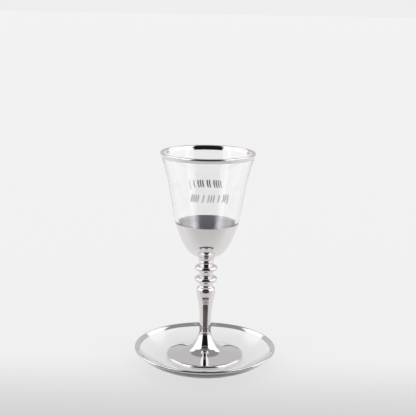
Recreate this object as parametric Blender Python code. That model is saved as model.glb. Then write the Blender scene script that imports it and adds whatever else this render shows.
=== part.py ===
"""A kiddush cup on its plate: a tall-stemmed goblet of clear pressed glass and a shallow round glass dish.

Both pieces are turned shapes about one upright axis. The dish stands on the table with its base at Z = 0,
and the goblet's foot stands on the dish's level floor, so it can be lifted away.
Outlines are written as (radius, height) in millimetres and turned into metres when they are spun.
"""

import math

import bpy
import numpy as np

MILLIMETRE = 0.001
RESTING_GAP = 0.3                # between the dish's floor and the goblet's foot

# The dish
PLATE_RADIUS = 53.2
PLATE_GLASS = 2.9                # thickness of the floor
PLATE_RIM_GLASS = 1.8            # thickness of the rim, which is rounded
PLATE_FLOOR_RADIUS = 33.0        # level part of the upper side, which the foot stands on
PLATE_RIM_TOP = 12.1             # height of the rim's rounded top above the table
PLATE_UPTURN = 1.8               # power of the wall's curve: the larger, the later it turns up
PLATE_SEGMENTS = 64
PLATE_CURVE_STEPS = 8            # points along the rising wall, upper and lower side each
PLATE_RIM_INNER_STEPS = 4        # points round the rim, from the upper side to its outermost point
PLATE_RIM_OUTER_STEPS = 3        # and on from there to the lower side

# The goblet, with heights above the underside of its own foot
GOBLET_HEIGHT = 157.2
GOBLET_SEGMENTS = 44
LIP_RADIUS = 34.95               # outermost radius of the rolled lip
LIP_ROUND = 1.05                 # radius of the lip's rounding
LIP_END = -45.0                  # angle at which the rounding meets the bowl's outer side
LIP_STEPS = 6
WALL_AT_LIP = 2.0
WALL_AT_WAIST = 2.5              # thickness of the bowl's wall where it starts to close
BOWL_WAIST_HEIGHT = 104.0        # height at which the bowl starts to close
BOWL_FLOOR_HEIGHT = 84.6         # lowest point of the inside
INSIDE_CLOSING_STEPS = 7         # points along the inside's rounded bottom
INSIDE_WALL_STEPS = 7            # points along the inside's wall

# Outer side of the bowl from under the lip to its waist, and from there round to the neck
BOWL_WALL = (
    (33.95, 153.6),
    (33.1, 151.4),
    (31.95, 147.8),
    (30.1, 141.2),
    (27.9, 130.6),
    (26.0, 119.5),
    (23.7, 105.5),
)
BOWL_WALL_STEPS = 8
BOWL_BOTTOM = (
    (23.7, 105.5),
    (21.35, 98.0),
    (18.05, 90.0),
    (14.85, 84.5),
    (11.85, 81.4),
    (8.6, 79.6),
    (6.65, 78.3),
    (6.3, 76.9),
)
BOWL_BOTTOM_STEPS = 12

# Collar between the neck and the upper knop
COLLAR_GROOVE_RADIUS = 4.9
COLLAR_RADIUS = 5.35
COLLAR_HEIGHT = 74.5
COLLAR_HALF = 1.2

# Two knops: each stands out from a core, with a section a little squarer than half an ellipse
KNOP_RADIUS = 8.5
KNOP_CORE = 5.2
KNOP_HALF = 2.15
KNOP_FULLNESS = 0.82             # power of the sine and cosine: 1 is an ellipse, less is squarer
UPPER_KNOP_HEIGHT = 69.85
LOWER_KNOP_HEIGHT = 61.3
KNOP_STEPS = 6

# The pear-shaped shaft, from the waist under the lower knop down to its slimmest part
SHAFT = (
    (4.9, 57.2),
    (5.0, 56.0),
    (6.6, 54.6),
    (7.15, 52.4),
    (6.85, 49.2),
    (5.95, 45.2),
    (5.05, 39.6),
    (4.4, 32.8),
    (4.3, 25.0),
)
SHAFT_STEPS = 12

# The stem's hollow-sided flare, which runs out into the foot's shallow cone as far as its rounded edge
FLARE = (
    (4.3, 23.0),
    (4.5, 19.3),
    (5.05, 16.9),
    (6.7, 13.6),
    (9.3, 10.0),
    (12.1, 7.65),
    (15.5, 6.0),
    (20.0, 4.75),
    (24.0, 3.9),
    (27.7, 3.2),
)
FLARE_STEPS = 14

# The foot's upper edge is rounded from where the cone meets it, and its lower edge is chamfered
FOOT_RADIUS = 29.1
FOOT_THICKNESS = 3.2             # top of the rounding
FOOT_ROUND = 1.7
FOOT_ROUND_START = 79.0          # angle at which the cone runs into the rounding
FOOT_CHAMFER = 0.5
FOOT_EDGE_STEPS = 4


def spline(points, steps):
    """A natural cubic spline through the points, read at equal distances of its chord length.

    Each coordinate is a cubic on every span, with first and second derivatives that agree at the points
    and with no bend at either end.
    """
    pts = np.array(points, dtype=float)
    knots = np.concatenate([[0.0], np.cumsum(np.hypot(*np.diff(pts, axis=0).T))])
    spans = np.diff(knots)
    count = len(pts)
    matrix = np.eye(count)
    right = np.zeros((count, 2))
    for i in range(1, count - 1):
        matrix[i, i - 1:i + 2] = spans[i - 1], 2.0 * (spans[i - 1] + spans[i]), spans[i]
        right[i] = 6.0 * ((pts[i + 1] - pts[i]) / spans[i] - (pts[i] - pts[i - 1]) / spans[i - 1])
    bend = np.linalg.solve(matrix, right)
    at = np.linspace(0.0, knots[-1], steps)
    k = np.clip(np.searchsorted(knots, at, side="right") - 1, 0, count - 2)
    h = spans[k][:, None]
    u = (knots[k + 1] - at)[:, None]
    v = (at - knots[k])[:, None]
    curve = (bend[k] * u ** 3 + bend[k + 1] * v ** 3) / (6.0 * h)
    curve += (pts[k] / h - bend[k] * h / 6.0) * u + (pts[k + 1] / h - bend[k + 1] * h / 6.0) * v
    return [tuple(p) for p in curve]


def arc(centre, radii, start, end, steps, fullness=1.0):
    """Points of an ellipse about centre, from angle start to end in degrees, measured up from +radius.

    The sine and cosine keep their signs and are raised to the power of the fullness, so that a fullness
    under 1 gives a squarer curve.
    """
    angles = np.radians(np.linspace(start, end, steps))
    across = np.sign(np.cos(angles)) * np.abs(np.cos(angles)) ** fullness
    up = np.sign(np.sin(angles)) * np.abs(np.sin(angles)) ** fullness
    return [(centre[0] + radii[0] * a, centre[1] + radii[1] * u) for a, u in zip(across, up)]


def glass_material(name):
    """Clear glass."""
    material = bpy.data.materials.new(name)
    material.use_nodes = True
    shader = material.node_tree.nodes["Principled BSDF"]
    shader.inputs["Base Color"].default_value = (0.93, 0.95, 0.95, 1.0)
    shader.inputs["Roughness"].default_value = 0.02
    shader.inputs["Metallic"].default_value = 0.0
    shader.inputs["Transmission Weight"].default_value = 1.0
    shader.inputs["IOR"].default_value = 1.5
    return material


def turned_piece(name, outline, segments, material):
    """Spin an outline, which starts and ends on the axis, about Z into one closed solid."""
    mesh = bpy.data.meshes.new(name)
    vertices = [(r * MILLIMETRE, 0.0, z * MILLIMETRE) for r, z in outline]
    mesh.from_pydata(vertices, [(i, i + 1) for i in range(len(vertices) - 1)], [])
    obj = bpy.data.objects.new(name, mesh)
    bpy.context.collection.objects.link(obj)
    screw = obj.modifiers.new("turn", "SCREW")
    screw.axis = "Z"
    screw.angle = 2.0 * math.pi
    screw.steps = segments
    screw.render_steps = segments
    screw.use_merge_vertices = True
    screw.merge_threshold = 0.00001
    screw.use_smooth_shade = True
    mesh.materials.append(material)
    return obj


def plate_outline():
    """The dish's section: upper side out from the axis, rounded rim, and the lower side back to the axis.

    The middle of the glass is level as far as the floor's edge and then rises as a power of the distance
    beyond it. The two sides lie half of the thickness off it, square to it, and the thickness falls evenly
    from the floor's to the rim's.
    """
    rim_half = 0.5 * PLATE_RIM_GLASS
    run = PLATE_RADIUS - rim_half - PLATE_FLOOR_RADIUS
    rise = PLATE_RIM_TOP - rim_half - 0.5 * PLATE_GLASS
    upper, lower = [], []
    for share in np.linspace(0.0, 1.0, PLATE_CURVE_STEPS):
        height = 0.5 * PLATE_GLASS + rise * share ** PLATE_UPTURN
        middle = np.array((PLATE_FLOOR_RADIUS + run * share, height))
        slope = math.atan(rise / run * PLATE_UPTURN * share ** (PLATE_UPTURN - 1.0))
        half = 0.5 * (PLATE_GLASS + (PLATE_RIM_GLASS - PLATE_GLASS) * share)
        across = half * np.array((-math.sin(slope), math.cos(slope)))
        upper.append(tuple(middle + across))
        lower.append(tuple(middle - across))
    start = math.degrees(slope) + 90.0
    rim = arc(middle, (rim_half, rim_half), start, 0.0, PLATE_RIM_INNER_STEPS)[1:]
    rim += arc(middle, (rim_half, rim_half), 0.0, start - 180.0, PLATE_RIM_OUTER_STEPS)[1:-1]
    return [(0.0, PLATE_GLASS)] + upper + rim + lower[::-1] + [(0.0, 0.0)]


def inside_outline(outer):
    """The inside of the bowl from its lowest point up to where the lip's rounding starts.

    The closing part is a quarter of an ellipse. Above it the wall follows the outer side, thinning evenly
    with height from its thickness at the waist to its thickness at the lip.
    """
    heights = [z for _, z in reversed(outer)]
    radii = [r for r, _ in reversed(outer)]
    lip_height = GOBLET_HEIGHT - LIP_ROUND

    def inner_radius(height):
        share = (height - BOWL_WAIST_HEIGHT) / (lip_height - BOWL_WAIST_HEIGHT)
        wall = WALL_AT_WAIST + (WALL_AT_LIP - WALL_AT_WAIST) * share
        return float(np.interp(height, heights, radii)) - wall

    radii_of_closing = (inner_radius(BOWL_WAIST_HEIGHT), BOWL_WAIST_HEIGHT - BOWL_FLOOR_HEIGHT)
    closing = arc((0.0, BOWL_WAIST_HEIGHT), radii_of_closing, -90.0, 0.0, INSIDE_CLOSING_STEPS)
    wall = [(inner_radius(z), z) for z in np.linspace(BOWL_WAIST_HEIGHT, lip_height, INSIDE_WALL_STEPS)]
    return closing[:-1] + wall[:-1]


def knop(height):
    """One knop's section, from its top to its bottom."""
    radii = (KNOP_RADIUS - KNOP_CORE, KNOP_HALF)
    return arc((KNOP_CORE, height), radii, 90.0, -90.0, KNOP_STEPS, KNOP_FULLNESS)


def goblet_outline():
    """The goblet's section: inside of the bowl, lip, outer side down to the foot, and its underside."""
    lip_centre = (LIP_RADIUS - LIP_ROUND, GOBLET_HEIGHT - LIP_ROUND)
    lip = arc(lip_centre, (LIP_ROUND, LIP_ROUND), 180.0, LIP_END, LIP_STEPS)
    bowl = spline(BOWL_WALL, BOWL_WALL_STEPS)[:-1] + spline(BOWL_BOTTOM, BOWL_BOTTOM_STEPS)
    collar = [
        (COLLAR_GROOVE_RADIUS, COLLAR_HEIGHT + COLLAR_HALF),
        (COLLAR_RADIUS, COLLAR_HEIGHT + 0.5 * COLLAR_HALF),
        (COLLAR_RADIUS, COLLAR_HEIGHT - 0.5 * COLLAR_HALF),
        (COLLAR_GROOVE_RADIUS, COLLAR_HEIGHT - COLLAR_HALF),
    ]
    knops = knop(UPPER_KNOP_HEIGHT) + knop(LOWER_KNOP_HEIGHT)
    shaft = spline(SHAFT, SHAFT_STEPS)
    flare = spline(FLARE, FLARE_STEPS)
    foot_centre = (FOOT_RADIUS - FOOT_ROUND, FOOT_THICKNESS - FOOT_ROUND)
    foot = arc(foot_centre, (FOOT_ROUND, FOOT_ROUND), FOOT_ROUND_START, 0.0, FOOT_EDGE_STEPS)[1:]
    underside = [(FOOT_RADIUS, FOOT_CHAMFER), (FOOT_RADIUS - FOOT_CHAMFER, 0.0), (0.0, 0.0)]
    inside = inside_outline([lip[-1]] + bowl)
    return inside + lip + bowl + collar + knops + shaft + flare + foot + underside


for old in list(bpy.data.objects):
    bpy.data.objects.remove(old, do_unlink=True)

plate = turned_piece("plate", plate_outline(), PLATE_SEGMENTS, glass_material("plate_glass"))
goblet = turned_piece("goblet", goblet_outline(), GOBLET_SEGMENTS, glass_material("goblet_glass"))
goblet.location.z = (PLATE_GLASS + RESTING_GAP) * MILLIMETRE
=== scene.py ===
import math

import bpy
import numpy as np
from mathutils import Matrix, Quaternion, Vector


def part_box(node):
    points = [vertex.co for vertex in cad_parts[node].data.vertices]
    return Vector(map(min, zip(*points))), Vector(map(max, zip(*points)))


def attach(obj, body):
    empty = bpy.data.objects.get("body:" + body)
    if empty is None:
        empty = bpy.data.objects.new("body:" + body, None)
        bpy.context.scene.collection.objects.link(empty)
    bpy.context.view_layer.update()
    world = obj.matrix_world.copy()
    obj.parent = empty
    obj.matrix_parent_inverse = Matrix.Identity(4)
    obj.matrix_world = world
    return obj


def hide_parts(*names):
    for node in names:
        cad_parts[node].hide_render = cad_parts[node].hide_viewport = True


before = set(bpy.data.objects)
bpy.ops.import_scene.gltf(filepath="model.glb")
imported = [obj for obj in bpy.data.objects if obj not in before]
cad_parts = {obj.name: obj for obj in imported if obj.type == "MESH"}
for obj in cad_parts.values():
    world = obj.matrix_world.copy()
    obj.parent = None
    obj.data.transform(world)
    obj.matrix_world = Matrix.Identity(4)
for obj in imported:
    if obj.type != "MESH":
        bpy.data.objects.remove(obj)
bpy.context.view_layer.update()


# The goblet: one piece of clear pressed glass, bowl, stem and foot in one, with a wall of two to three
# millimetres in the bowl and solid below it. It is pressed in a mould and fire-polished, so every
# corner is a little rounded.

MM = 0.001                               # sizes are in millimetres, and a mesh is in metres
goblet_low, goblet_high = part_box("goblet")
FOOT_LEVEL = goblet_low.z / MM           # height of the foot's underside above the table
GOBLET_HEIGHT = (goblet_high.z - goblet_low.z) / MM
COAT_OUT = 0.03                          # how far a coat stands out of the glass
COAT_IN = 0.02                           # and how far it reaches in
AROUND = 216                             # columns round a turned piece

# outlines are (radius, height above the foot's underside), from the lip downwards
LIP_RADIUS = 34.95
LIP_ROUND = 1.05
WALL_AT_LIP = 2.0
WALL_AT_WAIST = 2.5
WAIST = 104.0                            # level below which the inside closes in a half ellipse
BOWL_FLOOR = 84.6
BOWL = [(33.95, 153.6), (33.1, 151.4), (31.95, 147.8), (30.1, 141.2), (27.9, 130.6), (26.0, 119.5),
        (23.7, 105.5), (21.35, 98.0), (18.05, 90.0), (14.85, 84.5), (11.85, 81.4), (8.6, 79.6),
        (6.65, 78.3), (6.3, 76.9)]
COLLAR = [(4.9, 75.7), (5.35, 75.1), (5.35, 73.9), (5.1, 73.3), (4.9, 72.2)]
WAIST_OF_KNOPS = [(5.45, 67.4), (5.1, 66.4), (4.95, 65.2), (4.9, 63.7)]
KNOP_RADIUS, KNOP_CORE, KNOP_HALF, KNOP_FULLNESS = 8.5, 5.2, 2.15, 0.82
KNOPS = (69.85, 61.3)
SHAFT = [(4.9, 57.2), (5.0, 56.0), (6.6, 54.6), (7.15, 52.4), (6.85, 49.2), (5.95, 45.2),
         (5.05, 39.6), (4.4, 32.8), (4.3, 25.0)]
FLARE = [(4.3, 23.0), (4.5, 19.3), (5.05, 16.9), (6.7, 13.6), (9.3, 10.0), (12.1, 7.65), (15.5, 6.0),
         (20.0, 4.75), (24.0, 3.9), (27.7, 3.2)]
FOOT_RADIUS, FOOT_THICKNESS, FOOT_ROUND, FOOT_CHAMFER = 29.1, 3.2, 1.7, 0.5


def spline(points, count):
    """A natural cubic spline through the points, read at equal steps of its chord length.

    On each span it is a cubic whose second derivative runs evenly from one point's bend to the next
    point's, and the bends are those that make the slopes agree, with none at either end.
    """
    points = np.array(points, float)
    knots = np.concatenate([[0.0], np.cumsum(np.hypot(*np.diff(points, axis=0).T))])
    spans = np.diff(knots)
    slopes = np.diff(points, axis=0) / spans[:, None]
    inner = np.diag(2.0 * (spans[:-1] + spans[1:]))
    inner += np.diag(spans[1:-1], 1) + np.diag(spans[1:-1], -1)
    bend = np.zeros_like(points)
    bend[1:-1] = np.linalg.solve(inner, 6.0 * np.diff(slopes, axis=0))
    at = np.linspace(0.0, knots[-1], count)
    k = np.clip(np.searchsorted(knots, at, side="right") - 1, 0, len(spans) - 1)
    h = spans[k][:, None]
    u = (knots[k + 1] - at)[:, None]
    v = (at - knots[k])[:, None]
    return ((bend[k] * u ** 3 + bend[k + 1] * v ** 3) / (6.0 * h)
            + (points[k] / h - bend[k] * h / 6.0) * u
            + (points[k + 1] / h - bend[k + 1] * h / 6.0) * v)


def arc(centre, radii, start, end, count, fullness=1.0):
    """Points of an ellipse from angle start to end in degrees.

    Each is the centre plus each radius times the cosine or the sine, which keep their signs and are
    raised to the power of the fullness.
    """
    angle = np.radians(np.linspace(start, end, count))
    unit = np.column_stack([np.cos(angle), np.sin(angle)])
    return np.array(centre) + np.array(radii) * np.sign(unit) * np.abs(unit) ** fullness


def eased(outline, radius):
    """The outline read at small equal steps of its length, with every corner rounded.

    Each point is the mean of its neighbours under a bell curve of the given radius. Past each end the
    outline goes on as its own half turn about that end, so that the ends stay where they are.
    """
    step = 0.04
    outline = np.array(outline, float)
    length = np.concatenate([[0.0], np.cumsum(np.hypot(*np.diff(outline, axis=0).T))])
    at = np.linspace(0.0, length[-1], int(length[-1] / step) + 1)
    line = np.column_stack([np.interp(at, length, outline[:, k]) for k in (0, 1)])
    reach = int(3.0 * radius / step)     # the bell is as good as nothing past three radii
    weight = np.exp(-0.5 * (np.arange(-reach, reach + 1) * step / radius) ** 2)
    weight /= weight.sum()
    before = 2.0 * line[0] - line[reach:0:-1]
    after = 2.0 * line[-1] - line[-2:-reach - 2:-1]
    long = np.concatenate([before, line, after])
    return np.column_stack([np.convolve(long[:, k], weight, mode="valid") for k in (0, 1)])


def rows_of(line, span, turn):
    """Points picked along the line so that they lie close where it bends.

    There is one for each span of its length and one for each turn of its direction, in degrees.
    """
    step = np.diff(line, axis=0)
    heading = np.unwrap(np.arctan2(step[:, 1], step[:, 0]))
    bend = np.abs(np.diff(heading, append=heading[-1]))
    need = np.concatenate([[0.0], np.cumsum(np.hypot(*step.T) / span + bend / math.radians(turn))])
    at = np.linspace(0.0, need[-1], math.ceil(need[-1]) + 1)
    return np.column_stack([np.interp(at, need, line[:, k]) for k in (0, 1)])


def beside(line, distance):
    """The line moved sideways, square to its direction and away from the glass."""
    along = np.gradient(line, axis=0)
    along /= np.hypot(*along.T)[:, None]
    return line + distance * np.column_stack([-along[:, 1], along[:, 0]])


def turned(name, section, side=None):
    """A section of (radius, height) points spun about Z.

    A point is the radius times the cosine and the sine of the angle, and the height. A section that starts
    and ends on the axis closes in one point at each end; any other is a ring whose last row joins its
    first. The side of each row, if given, is kept as a number on its points.
    """
    angle = np.linspace(0.0, 2.0 * math.pi, AROUND, endpoint=False)
    capped = section[0, 0] == 0.0
    body = section[1:-1] if capped else section
    grid = np.stack([np.outer(body[:, 0], np.cos(angle)), np.outer(body[:, 0], np.sin(angle)),
                     np.repeat(body[:, 1:], AROUND, axis=1)], axis=-1)
    vertices = grid.reshape(-1, 3)
    rows = len(body)
    row = np.arange(rows - 1 if capped else rows)[:, None]
    column = np.arange(AROUND)[None]
    below = (row + 1) % rows * AROUND
    beyond = (column + 1) % AROUND
    corners = (row * AROUND + column, below + column, below + beyond, row * AROUND + beyond)
    faces = np.stack(corners, axis=-1).reshape(-1, 4).tolist()
    if capped:
        ends = np.array([[0.0, 0.0, section[0, 1]], [0.0, 0.0, section[-1, 1]]])
        vertices = np.concatenate([vertices, ends])
        first, last = rows * AROUND, rows * AROUND + 1
        ring = np.arange(AROUND)
        following = (ring + 1) % AROUND
        start = (rows - 1) * AROUND
        faces += np.column_stack([np.full(AROUND, first), ring, following]).tolist()
        faces += np.column_stack([start + ring, np.full(AROUND, last), start + following]).tolist()
    mesh = bpy.data.meshes.new(name)
    mesh.from_pydata((vertices * MM).tolist(), [], faces)
    mesh.shade_smooth()
    if side is not None:
        outer = mesh.attributes.new("outer", "FLOAT", "POINT")
        outer.data.foreach_set("value", np.repeat(side, AROUND))
    piece = bpy.data.objects.new(name, mesh)
    bpy.context.scene.collection.objects.link(piece)
    return piece


# the outline climbs the inside from the axis, rounds the lip and runs down the outside to the axis again
lip_level = GOBLET_HEIGHT - COAT_OUT - LIP_ROUND
lip = arc((LIP_RADIUS - LIP_ROUND, lip_level), (LIP_ROUND, LIP_ROUND), 180.0, -45.0, 60)
lip_inside, lip_outside = lip[:30], lip[30:]
bowl = spline(BOWL, 600)
knop_radii = (KNOP_RADIUS - KNOP_CORE, KNOP_HALF)
upper_knop, lower_knop = [arc((KNOP_CORE, level), knop_radii, 90.0, -90.0, 90, KNOP_FULLNESS)
                          for level in KNOPS]
edge_centre = (FOOT_RADIUS - FOOT_ROUND, FOOT_THICKNESS - FOOT_ROUND)
foot_edge = arc(edge_centre, (FOOT_ROUND, FOOT_ROUND), 79.0, 0.0, 30)[1:]
base = [(FOOT_RADIUS, FOOT_CHAMFER), (FOOT_RADIUS - FOOT_CHAMFER, 0.0), (0.0, 0.0)]
outside = np.concatenate([lip_outside, bowl, COLLAR, upper_knop, spline(WAIST_OF_KNOPS, 60), lower_knop,
                          spline(SHAFT, 300), spline(FLARE, 400), foot_edge, base])


def wall(level):
    """Thickness of the bowl's wall, even from the waist's to the lip's with height."""
    return np.interp(level, [WAIST, lip_level], [WALL_AT_WAIST, WALL_AT_LIP])


def inner_radius(level):
    """Radius of the inside at a level: that of the outside less the wall."""
    shell = np.concatenate([lip[-1:], bowl])[::-1]
    return np.interp(level, shell[:, 1], shell[:, 0]) - wall(level)


levels = np.linspace(WAIST, lip_level, 200)[:-1]
closing = arc((0.0, WAIST), (inner_radius(WAIST), WAIST - BOWL_FLOOR), -90.0, 0.0, 120)[:-1]
inside = np.concatenate([closing, np.column_stack([inner_radius(levels), levels]), lip_inside])

CORNER = 0.16                            # radius to which fire-polishing eases the corners
goblet_line = eased(np.concatenate([inside, outside]), CORNER)
goblet_line[:, 1] += FOOT_LEVEL
goblet_line[0, 0] = goblet_line[-1, 0] = 0.0
goblet_glass = turned("goblet_glass", rows_of(goblet_line, 2.4, 6.2))

RIPPLE_SCALE = 60.0                      # noise cells to a metre in the faint ripple that pressing leaves
RIPPLE_STRENGTH, RIPPLE_DEPTH = 0.2, 0.00003
clear = bpy.data.materials.new("clear_glass")
clear.use_nodes = True
shader = clear.node_tree.nodes["Principled BSDF"]
shader.inputs["Base Color"].default_value = (1.0, 1.0, 1.0, 1.0)
shader.inputs["Roughness"].default_value = 0.0
shader.inputs["Transmission Weight"].default_value = 1.0
shader.inputs["IOR"].default_value = 1.5
shader.inputs["Specular IOR Level"].default_value = 0.2
glass_place = clear.node_tree.nodes.new("ShaderNodeTexCoord")
ripple = clear.node_tree.nodes.new("ShaderNodeTexNoise")
ripple.inputs["Scale"].default_value = RIPPLE_SCALE
ripple.inputs["Detail"].default_value = 1.0
relief = clear.node_tree.nodes.new("ShaderNodeBump")
relief.inputs["Strength"].default_value = RIPPLE_STRENGTH
relief.inputs["Distance"].default_value = RIPPLE_DEPTH
clear.node_tree.links.new(glass_place.outputs["Object"], ripple.inputs["Vector"])
clear.node_tree.links.new(ripple.outputs["Fac"], relief.inputs["Height"])
clear.node_tree.links.new(relief.outputs["Normal"], shader.inputs["Normal"])
goblet_glass.data.materials.append(clear)
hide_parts("goblet")
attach(goblet_glass, "root")


# The silver-coloured coat: a mirror film laid on the outside of the glass from the lower part of the bowl
# down over the stem and the foot. It ends in a clean level edge on the bowl and just under the foot's edge.
# It has no shape of its own, so it is a thin skin that follows the glass.

EDGE = 0.08                              # how far from a skin's edge its last row but one lies
COAT_TOP = 108.1                         # level of the coat's edge on the bowl, above the table
COAT_UNDER = 2.0                         # how far it reaches in under the foot


def coat(name, line):
    """A closed skin along part of the glass's outline: the line moved out, and back along the line moved in.

    A point is put in close to each end, so that the shading is even right up to the skin's edges.
    """
    ends = line[[1, -2]] - line[[0, -1]]
    close = line[[0, -1]] + ends * (EDGE / np.hypot(*ends.T))[:, None]
    line = np.concatenate([line[:1], close[:1], line[1:-1], close[1:], line[-1:]])
    skin = np.concatenate([beside(line, COAT_OUT), beside(line, -COAT_IN)[::-1]])
    return turned(name, skin, np.repeat([1.0, 0.0], len(line)))


lip_row = int(np.argmax(goblet_line[:, 1]))
down = goblet_line[lip_row:]
above_foot = down[:, 1] > FOOT_LEVEL + COAT_OUT
near_edge = down[:, 0] > FOOT_RADIUS - COAT_UNDER
coated = down[(down[:, 1] < COAT_TOP) & (above_foot | near_edge)]
silver_coat = coat("silver_coat", rows_of(coated, 5.0, 12.0))


FILM_BACK = (0.63, 0.60, 0.65)           # the film's other side, on the glass: duller, a little violet
FILM_BACK_METAL = 0.66
FILM_BACK_ROUGHNESS = 0.21
GLOSS_SCALE, GLOSS_SHARE = 260.0, 0.3    # noise that the gloss wanders with, and the share it wanders by
WAVE_SCALE, WAVE_STRENGTH, WAVE_DEPTH = 90.0, 0.25, 0.00006


def silver(name, colour, roughness, metal=1.0, back=FILM_BACK, back_metal=FILM_BACK_METAL):
    """A silver-coloured film of two looks, one outside and one on the side that lies on the glass.

    The number that a skin keeps for its side picks between the two. The gloss wanders a little over the
    surface, and the relief is a faint slow wave.
    """
    material = bpy.data.materials.new(name)
    material.use_nodes = True
    nodes, links = material.node_tree.nodes, material.node_tree.links
    shader = nodes["Principled BSDF"]
    side = nodes.new("ShaderNodeAttribute")
    side.attribute_name = "outer"
    tone = nodes.new("ShaderNodeMix")
    tone.data_type = "RGBA"
    tone.inputs["A"].default_value = (*back, 1.0)
    tone.inputs["B"].default_value = (*colour, 1.0)
    links.new(side.outputs["Fac"], tone.inputs["Factor"])
    links.new(tone.outputs["Result"], shader.inputs["Base Color"])
    sheen = nodes.new("ShaderNodeMapRange")
    sheen.inputs["To Min"].default_value = back_metal
    sheen.inputs["To Max"].default_value = metal
    links.new(side.outputs["Fac"], sheen.inputs["Value"])
    links.new(sheen.outputs["Result"], shader.inputs["Metallic"])
    place = nodes.new("ShaderNodeTexCoord")
    gloss = nodes.new("ShaderNodeTexNoise")
    gloss.inputs["Scale"].default_value = GLOSS_SCALE
    gloss.inputs["Detail"].default_value = 3.0
    spread = nodes.new("ShaderNodeMapRange")
    spread.inputs["To Min"].default_value = roughness * (1.0 - GLOSS_SHARE)
    spread.inputs["To Max"].default_value = roughness * (1.0 + GLOSS_SHARE)
    links.new(place.outputs["Object"], gloss.inputs["Vector"])
    links.new(gloss.outputs["Fac"], spread.inputs["Value"])
    polish = nodes.new("ShaderNodeMix")
    polish.inputs["A"].default_value = FILM_BACK_ROUGHNESS
    links.new(side.outputs["Fac"], polish.inputs["Factor"])
    links.new(spread.outputs["Result"], polish.inputs["B"])
    links.new(polish.outputs["Result"], shader.inputs["Roughness"])
    wave = nodes.new("ShaderNodeTexNoise")
    wave.inputs["Scale"].default_value = WAVE_SCALE
    wave.inputs["Detail"].default_value = 1.0
    relief = nodes.new("ShaderNodeBump")
    relief.inputs["Strength"].default_value = WAVE_STRENGTH
    relief.inputs["Distance"].default_value = WAVE_DEPTH
    links.new(place.outputs["Object"], wave.inputs["Vector"])
    links.new(wave.outputs["Fac"], relief.inputs["Height"])
    links.new(relief.outputs["Normal"], shader.inputs["Normal"])
    return material


MIRROR_COLOUR, MIRROR_ROUGHNESS = (0.80, 0.77, 0.775), 0.04
mirror = silver("silver_coat", MIRROR_COLOUR, MIRROR_ROUGHNESS)
silver_coat.data.materials.append(mirror)
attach(silver_coat, "root")


# The lip's band: the same film, wrapped over the rounded lip and a few millimetres down both its sides.
# It follows the glass as the coat does.

BAND_DROP = 3.4                          # how far below the lip's top it ends
near_lip = goblet_line[goblet_line[:, 1] > goblet_line[lip_row, 1] - BAND_DROP]
lip_band = coat("lip_band", rows_of(near_lip, 1.0, 6.0))
lip_band.data.materials.append(mirror)
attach(lip_band, "root")


# The two rows of marks: short slanted strokes of the film, laid on the bowl's outer side in five groups to
# a row, one row in front and one behind, which shows through the glass. Their faces are satin.

FRONT_LEVEL, BACK_LEVEL = 131.0, 131.7   # levels of the middles of the rows
STROKE_HEIGHT = 5.9
STROKE_WIDTH = 1.25
STROKE_LEAN = 1.1                        # how far a stroke's top lies to the right of its foot
STROKE_BOW = 0.3                         # how far its middle bows to the right
STROKE_BLUNT = 0.4                       # power that keeps its width nearly full towards its ends
STROKE_ROWS, STROKE_POINTS = 17, 5       # rows of points up a stroke, and points across one face
TAIL = 1.5                               # how much farther down the last stroke of a row reaches
FRONT_STROKES = (4, 1, 3, 1, 3)          # strokes in each group, from left to right
FRONT_WIDTHS = (7.0, 3.3, 6.0, 3.0, 5.6)
FRONT_HALF, FRONT_TURN = 14.3, 3.5       # half the row's length on the glass, and the turn of its middle
BACK_STROKES = (1, 1, 3, 2, 4)
BACK_WIDTHS = (2.2, 2.4, 6.2, 4.2, 8.0)
BACK_HALF, BACK_TURN = 13.9, 183.3


def row_of_strokes(counts, widths, half_length):
    """Places of a row's strokes along the glass, from its middle.

    The groups follow each other with equal gaps between them, and the strokes of a group share out its
    width evenly.
    """
    gap = (2.0 * half_length - sum(widths)) / (len(widths) - 1)
    places = []
    start = -half_length
    for count, width in zip(counts, widths):
        room = (width - STROKE_WIDTH - STROKE_LEAN) / max(count - 1, 1)
        first = start + 0.5 * width - 0.5 * room * (count - 1)
        places += [first + room * k for k in range(count)]
        start += width + gap
    return np.array(places)


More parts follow.
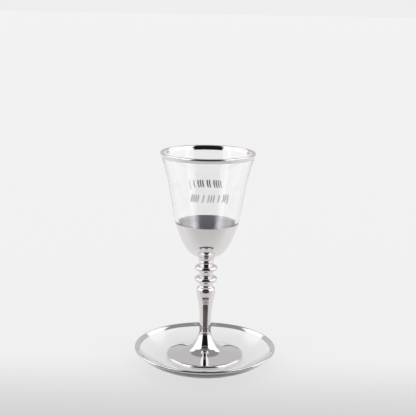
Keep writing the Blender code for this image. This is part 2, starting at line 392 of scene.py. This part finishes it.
def marks(name, places, middle, turn, tail_at):
    """A skin for each stroke, all in one mesh.

    A stroke is a bowed, leaning line on the glass, fullest in the middle. Its points lie at the glass's
    radius for their level and at the angle of their distance along the glass.
    """
    along = np.linspace(0.0, 1.0, STROKE_ROWS)[None, :, None]
    face = np.linspace(-0.5, 0.5, STROKE_POINTS)
    across = np.concatenate([face, face[::-1]])[None, None, :]
    lift = np.repeat([COAT_OUT, -COAT_IN], STROKE_POINTS)[None, None, :]
    tail = np.where(np.arange(len(places)) == tail_at, TAIL, 0.0)[:, None, None]
    full = STROKE_WIDTH * (0.5 + 0.5 * np.sin(math.pi * along) ** STROKE_BLUNT)
    run = (places[:, None, None] + STROKE_LEAN * (along - 0.5) + STROKE_BOW * np.sin(math.pi * along)
           + full * across)
    level = middle + STROKE_HEIGHT * (along - 0.5) - tail * (1.0 - along) + 0.0 * across
    shell = down[down[:, 1] > COAT_TOP][::-1]
    radius = np.interp(level, shell[:, 1], shell[:, 0])
    angle = math.radians(turn) + run / radius
    radius = radius + lift
    points = np.stack([radius * np.sin(angle), -radius * np.cos(angle), level], axis=-1)
    count, rows, ring = points.shape[:3]
    stroke = np.arange(count)[:, None, None] * rows * ring
    row = np.arange(rows - 1)[None, :, None] * ring
    column = np.arange(ring)[None, None, :]
    beyond = (column + 1) % ring
    lower, upper = stroke + row, stroke + row + ring
    corners = (lower + column, lower + beyond, upper + beyond, upper + column)
    quads = np.stack(corners, axis=-1).reshape(-1, 4).tolist()
    starts = (stroke[:, 0] + np.arange(ring)[None, ::-1]).tolist()
    ends = (stroke[:, 0] + (rows - 1) * ring + np.arange(ring)[None]).tolist()
    mesh = bpy.data.meshes.new(name)
    mesh.from_pydata((points.reshape(-1, 3) * MM).tolist(), [], quads + starts + ends)
    outer = mesh.attributes.new("outer", "FLOAT", "POINT")
    outer.data.foreach_set("value", np.tile(np.repeat([1.0, 0.0], STROKE_POINTS), count * rows))
    piece = bpy.data.objects.new(name, mesh)
    bpy.context.scene.collection.objects.link(piece)
    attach(piece, "root")
    return piece


SATIN_COLOUR, SATIN_ROUGHNESS, SATIN_METAL = (0.62, 0.61, 0.62), 0.5, 0.2
satin = silver("silver_marks", SATIN_COLOUR, SATIN_ROUGHNESS, SATIN_METAL)
front_places = row_of_strokes(FRONT_STROKES, FRONT_WIDTHS, FRONT_HALF)
back_places = row_of_strokes(BACK_STROKES, BACK_WIDTHS, BACK_HALF)
front_marks = marks("front_marks", front_places, FRONT_LEVEL, FRONT_TURN, len(front_places) - 1)
back_marks = marks("back_marks", -back_places, BACK_LEVEL, BACK_TURN, 0)
front_marks.data.materials.append(satin)
back_marks.data.materials.append(satin)


# The dish: a shallow round dish of clear pressed glass, level inside as far as the foot reaches, whose wall
# turns up in one hollow curve to a rounded rim.

plate_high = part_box("plate")[1]
PLATE_RADIUS = plate_high.x / MM - COAT_OUT
PLATE_RIM_TOP = plate_high.z / MM - COAT_OUT
PLATE_GLASS = 2.9                        # thickness of the floor
PLATE_RIM_GLASS = 1.8                    # and of the rim
PLATE_FLOOR_RADIUS = 33.0
PLATE_UPTURN = 1.8                       # power by which the wall rises

# the middle of the glass rises as a power of the share of its run, and the two sides lie square to it
rim_half = 0.5 * PLATE_RIM_GLASS
run = PLATE_RADIUS - rim_half - PLATE_FLOOR_RADIUS
rise = PLATE_RIM_TOP - rim_half - 0.5 * PLATE_GLASS
share = np.linspace(0.0, 1.0, 200)
middle = np.column_stack([PLATE_FLOOR_RADIUS + run * share,
                          0.5 * PLATE_GLASS + rise * share ** PLATE_UPTURN])
slope = np.arctan(rise / run * PLATE_UPTURN * share ** (PLATE_UPTURN - 1.0))
half = 0.5 * (PLATE_GLASS + (PLATE_RIM_GLASS - PLATE_GLASS) * share)
across = half[:, None] * np.column_stack([-np.sin(slope), np.cos(slope)])
rim_start = math.degrees(slope[-1]) + 90.0
rim = arc(middle[-1], (rim_half, rim_half), rim_start, rim_start - 180.0, 80)[1:-1]
plate_line = np.concatenate([[(0.0, PLATE_GLASS)], middle + across, rim, (middle - across)[::-1],
                             [(0.0, 0.0)]])
plate_line = eased(plate_line, CORNER)
plate_line[0, 0] = plate_line[-1, 0] = 0.0
plate_glass = turned("plate_glass", rows_of(plate_line, 2.0, 3.0))
plate_glass.data.materials.append(clear)
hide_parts("plate")
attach(plate_glass, "root")


# The dish's band: the film again, laid on the upper slope from just past the rim's rounded edge inwards.
# Its back, seen through the dish from below, is painted paler and more matt than the coat's: painted light
# that lifts the shade under the dish's rim.

PLATE_BAND_RADIUS = 49.2                 # radius of its inner edge
PLATE_BAND_DROP = 0.75                   # how far below the rim's outermost line it ends
# painted light: a paler, half-matt copy of the film's back for the dish's band
PLATE_BAND_LIT_BACK, PLATE_BAND_LIT_BACK_METAL = (0.95, 0.95, 0.97), 0.5
widest = int(np.argmax(plate_line[:, 0]))
low_end = np.searchsorted(-plate_line[widest:, 1], PLATE_BAND_DROP - plate_line[widest, 1])
banded = plate_line[:widest + low_end]
banded = banded[banded[:, 0] > PLATE_BAND_RADIUS]
plate_band = coat("plate_band", rows_of(banded, 1.0, 5.0))
lit_backed = silver("silver_band", MIRROR_COLOUR, MIRROR_ROUGHNESS, 1.0, PLATE_BAND_LIT_BACK,
                     PLATE_BAND_LIT_BACK_METAL)
plate_band.data.materials.append(lit_backed)
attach(plate_band, "root")


# The studio: a pale sheet for a floor, lit evenly, with painted shade in its tone that darkens it a little
# towards the front, where the room is dark. It lies a hair's breadth below the dish.

FLOOR_SIZE, FLOOR_DROP = 60.0, 0.0002
FLOOR_NEAR = (-0.12, 0.30)               # place along Y where the painted shade towards the front ends, and that tone
FLOOR_FAR = (0.02, 0.405)                # and where the paler one starts, and that tone
FLOOR_SHARE = 0.45                       # share of the tone that answers to light
FLOOR_GLOW = 1.66                        # strength at which the tone shines by itself
bpy.ops.mesh.primitive_plane_add(size=FLOOR_SIZE, location=(0.0, 0.0, -FLOOR_DROP))
floor = bpy.context.object
floor.name = "floor"
pale = bpy.data.materials.new("pale_floor")
pale.use_nodes = True
floor_nodes, floor_links = pale.node_tree.nodes, pale.node_tree.links
floor_shader = floor_nodes["Principled BSDF"]
floor_shader.inputs["Roughness"].default_value = 0.9
floor_shader.inputs["Specular IOR Level"].default_value = 0.1
floor_shader.inputs["Emission Strength"].default_value = FLOOR_GLOW
floor_place = floor_nodes.new("ShaderNodeTexCoord")
floor_axes = floor_nodes.new("ShaderNodeSeparateXYZ")
floor_links.new(floor_place.outputs["Object"], floor_axes.inputs[0])
# painted shade: the floor's tone darkens towards the front
painted_front_shade = floor_nodes.new("ShaderNodeMapRange")
painted_front_shade.interpolation_type = "SMOOTHSTEP"
painted_front_shade.inputs["From Min"].default_value, painted_front_shade.inputs["To Min"].default_value = FLOOR_NEAR
painted_front_shade.inputs["From Max"].default_value, painted_front_shade.inputs["To Max"].default_value = FLOOR_FAR
floor_links.new(floor_axes.outputs["Y"], painted_front_shade.inputs["Value"])
floor_tone = floor_nodes.new("ShaderNodeCombineColor")
for channel in ("Red", "Green", "Blue"):
    floor_links.new(painted_front_shade.outputs["Result"], floor_tone.inputs[channel])
floor_share = floor_nodes.new("ShaderNodeVectorMath")
floor_share.operation = "SCALE"
floor_share.inputs["Scale"].default_value = FLOOR_SHARE
floor_links.new(floor_tone.outputs["Color"], floor_share.inputs[0])
floor_links.new(floor_share.outputs["Vector"], floor_shader.inputs["Base Color"])
floor_links.new(floor_tone.outputs["Color"], floor_shader.inputs["Emission Color"])
floor.data.materials.append(pale)


# Two dark screens that only the mirrors see: the table in front of the pale sheet's edge, and a low dark
# sheet round the front of the dish, a painted reflection of the shade under the dish's rim. Both are flat
# sheets in metres, and the low one is part of a ring.

SHEET_EDGE = 0.158                       # how far in front of the axis the pale sheet ends
TABLE_LEVEL = 0.0001
TABLE_CORNERS = [(-0.08, -SHEET_EDGE), (0.08, -SHEET_EDGE), (0.185, -0.2), (2.8, -3.0), (-2.8, -3.0),
                 (-0.185, -0.2)]
# the low dark sheet that paints the reflected shade under the dish's rim
RIM_SHADE_RADIUS, RIM_SHADE_HALF = 0.0575, 45.0  # its radius, and how many degrees it reaches to each side
RIM_SHADE_LOW, RIM_SHADE_HIGH = 0.0005, 0.0130
RIM_SHADE_POSTS = 31


def screen(name, points, faces, colour):
    """A flat sheet through the points that shows in reflections and nowhere else."""
    mesh = bpy.data.meshes.new(name)
    mesh.from_pydata(points, [], faces)
    material = bpy.data.materials.new(name)
    material.use_nodes = True
    material.node_tree.nodes["Principled BSDF"].inputs["Base Color"].default_value = (*colour, 1.0)
    mesh.materials.append(material)
    sheet = bpy.data.objects.new(name, mesh)
    bpy.context.scene.collection.objects.link(sheet)
    sheet.visible_camera = False
    sheet.visible_diffuse = False
    sheet.visible_transmission = False
    sheet.visible_shadow = False


table_points = [(x, y, TABLE_LEVEL) for x, y in TABLE_CORNERS]
screen("dark_table", table_points, [(5, 4, 3, 2, 1, 0)], (0.03, 0.028, 0.027))
turn = np.radians(np.linspace(-RIM_SHADE_HALF, RIM_SHADE_HALF, RIM_SHADE_POSTS))
rim_shade_ring = RIM_SHADE_RADIUS * np.column_stack([np.sin(turn), -np.cos(turn)])
rim_shade_points = np.concatenate([np.column_stack([rim_shade_ring, np.full(RIM_SHADE_POSTS, level)])
                               for level in (RIM_SHADE_LOW, RIM_SHADE_HIGH)])
rim_shade_faces = [(k, k + 1, k + 1 + RIM_SHADE_POSTS, k + RIM_SHADE_POSTS) for k in range(RIM_SHADE_POSTS - 1)]
# painted reflection of the shade under the dish's rim, in a dark brownish tone
screen("painted_rim_shade", rim_shade_points.tolist(), rim_shade_faces, (0.15, 0.13, 0.12))


# The room round the object, told by direction alone: a pale backdrop behind, a grey ceiling over it, a
# large bright panel on each side with a hotter strip, and in front a dark room crossed by two paler bars.

BACKDROP_LOW, BACKDROP_HIGH = 0.86, 0.62
BACKDROP_MIRRORED = 0.66                 # the low tone as the mirrors see it
BACKDROP_TURN = (4.0, 26.0)              # elevations between which low turns to high
CEILING = 0.31
CEILING_SLOPE = (1.4, 1.7)               # slope, seen from the object, at which the ceiling starts
CEILING_LEAN, CEILING_SPREAD = 0.85, 0.45    # how much lower it starts to the sides, and as far out as this
FRONT_DARK = 0.012
FRONT_EDGE = (38.0, 45.0)                # azimuths at which the dark front ends
FRONT_TOP = (75.0, 77.0)                 # elevations at which it ends
BARS = ((53.0, 54.0, 58.0, 59.0), (64.0, 66.0, 71.0, 73.0))    # elevations of the bars' edges
BAR_TONE = 0.18
SIDE_LIGHT, SIDE_HOT = 1.3, 2.2
SIDE_EDGE = (119.0, 130.0)               # azimuths at which a side panel ends towards the back
SIDE_LEAN = (28.0, 38.0, 0.0, 22.0)      # elevations between which that edge moves back, and how far
SIDE_TOP = (66.0, 118.0, 2.25, 1.45)     # azimuths between which the panel's top comes down, as slopes
SIDE_CORNER = (116.0, 132.0, 0.0, 0.3)   # azimuths between which the top's corner rises again
SIDE_SOFT = 0.04                         # half the softness of the top edge
HOT_STRIP = (56.0, 58.0, 64.0, 67.0)     # azimuths of the hotter strip's edges
DAYLIGHT = 1.05                          # the even light that falls on matt surfaces
DEGREES = 180.0 / math.pi

world = bpy.data.worlds.new("studio")
bpy.context.scene.world = world
world.use_nodes = True
nodes, links = world.node_tree.nodes, world.node_tree.links


def maths(operation, first, second=0.0):
    """One Math node on numbers or sockets."""
    node = nodes.new("ShaderNodeMath")
    node.operation = operation
    for socket, value in zip(node.inputs, (first, second)):
        if isinstance(value, bpy.types.NodeSocket):
            links.new(value, socket)
        else:
            socket.default_value = value
    return node.outputs[0]


def ramp(value, low, high, low_result=0.0, high_result=1.0):
    """A smooth step from the low result to the high one as the value goes from low to high."""
    node = nodes.new("ShaderNodeMapRange")
    node.interpolation_type = "SMOOTHSTEP"
    links.new(value, node.inputs["Value"])
    node.inputs["From Min"].default_value = low
    node.inputs["From Max"].default_value = high
    node.inputs["To Min"].default_value = low_result
    node.inputs["To Max"].default_value = high_result
    return node.outputs["Result"]


def strip(value, low, low_full, high_full, high):
    """One between two edges and nothing outside them: a rising step times a falling one."""
    return maths("MULTIPLY", ramp(value, low, low_full), ramp(value, high_full, high, 1.0, 0.0))


def blend(first, second, share):
    """First times what the share leaves, plus second times the share."""
    return maths("ADD", maths("MULTIPLY", first, maths("SUBTRACT", 1.0, share)),
                 maths("MULTIPLY", second, share))


place = nodes.new("ShaderNodeTexCoord")
axes = nodes.new("ShaderNodeSeparateXYZ")
links.new(place.outputs["Generated"], axes.inputs[0])
elevation = maths("MULTIPLY", maths("ARCSINE", axes.outputs["Z"]), DEGREES)
sideways = maths("ABSOLUTE", axes.outputs["X"])
towards = maths("MULTIPLY", axes.outputs["Y"], -1.0)
azimuth = maths("MULTIPLY", maths("ARCTAN2", sideways, towards), DEGREES)    # 0 in front, 180 behind

# rays that reach the backdrop straight or through glass see it brighter than the mirrors do
path = nodes.new("ShaderNodeLightPath")
direct = maths("MAXIMUM", path.outputs["Is Camera Ray"],
               maths("GREATER_THAN", path.outputs["Transmission Depth"], 0.5))
low_tone = blend(BACKDROP_MIRRORED, BACKDROP_LOW, direct)
backdrop = blend(low_tone, BACKDROP_HIGH, ramp(elevation, *BACKDROP_TURN))

backwards = maths("MAXIMUM", axes.outputs["Y"], 0.02)
back_slope = maths("DIVIDE", axes.outputs["Z"], backwards)
spread = maths("MINIMUM", maths("DIVIDE", sideways, backwards), CEILING_SPREAD)
above = ramp(maths("ADD", back_slope, maths("MULTIPLY", spread, CEILING_LEAN)), *CEILING_SLOPE)
room = blend(backdrop, CEILING, above)

past_front = ramp(azimuth, *FRONT_EDGE)
side_end = maths("SUBTRACT", azimuth, ramp(elevation, *SIDE_LEAN))
side_slope = maths("DIVIDE", axes.outputs["Z"], maths("MAXIMUM", sideways, 0.001))
side_top = maths("ADD", ramp(azimuth, *SIDE_TOP), ramp(azimuth, *SIDE_CORNER))
side = maths("MULTIPLY", past_front, ramp(side_end, *SIDE_EDGE, 1.0, 0.0))
over_top = maths("SUBTRACT", side_slope, side_top)
side = maths("MULTIPLY", side, ramp(over_top, -SIDE_SOFT, SIDE_SOFT, 1.0, 0.0))
lit = blend(room, blend(SIDE_LIGHT, SIDE_HOT, strip(azimuth, *HOT_STRIP)), side)

bars = maths("ADD", strip(elevation, *BARS[0]), strip(elevation, *BARS[1]))
dark = maths("ADD", FRONT_DARK, maths("MULTIPLY", bars, BAR_TONE))
in_front = maths("MULTIPLY", maths("SUBTRACT", 1.0, past_front), ramp(elevation, *FRONT_TOP, 1.0, 0.0))
lit = blend(lit, dark, in_front)

# matt surfaces get an even light, and rays that have met no mirror see the backdrop all round
matt = maths("GREATER_THAN", path.outputs["Diffuse Depth"], 0.5)
bounces = maths("ADD", path.outputs["Glossy Depth"], path.outputs["Diffuse Depth"])
through_glass = maths("MULTIPLY", path.outputs["Is Transmission Ray"], maths("LESS_THAN", bounces, 0.5))
unmirrored = maths("MAXIMUM", path.outputs["Is Camera Ray"], through_glass)
links.new(blend(blend(lit, DAYLIGHT, matt), backdrop, unmirrored), nodes["Background"].inputs["Color"])


# The camera: a long lens a little above the lip, looking down at the bowl, and turned by a degree.

LENS, SENSOR = 80.73, 36.0
CAMERA_DISTANCE, CAMERA_HEIGHT, CAMERA_SIDE = 0.6702, 0.2638, 0.0006
CAMERA_DOWN, CAMERA_ROLL = 12.226, 0.994
camera_data = bpy.data.cameras.new("camera")
camera_data.sensor_width = SENSOR
camera_data.lens = LENS
camera_data.clip_end = 100.0
camera = bpy.data.objects.new("camera", camera_data)
bpy.context.scene.collection.objects.link(camera)
camera.location = (CAMERA_SIDE, -CAMERA_DISTANCE, CAMERA_HEIGHT)
camera.rotation_mode = "QUATERNION"
tilt = Quaternion((1.0, 0.0, 0.0), math.radians(90.0 - CAMERA_DOWN))
roll = Quaternion((0.0, 0.0, 1.0), math.radians(CAMERA_ROLL))
camera.rotation_quaternion = tilt @ roll
bpy.context.scene.camera = camera
bpy.context.scene.view_settings.view_transform = "Standard"
bpy.context.scene.view_settings.look = "None"
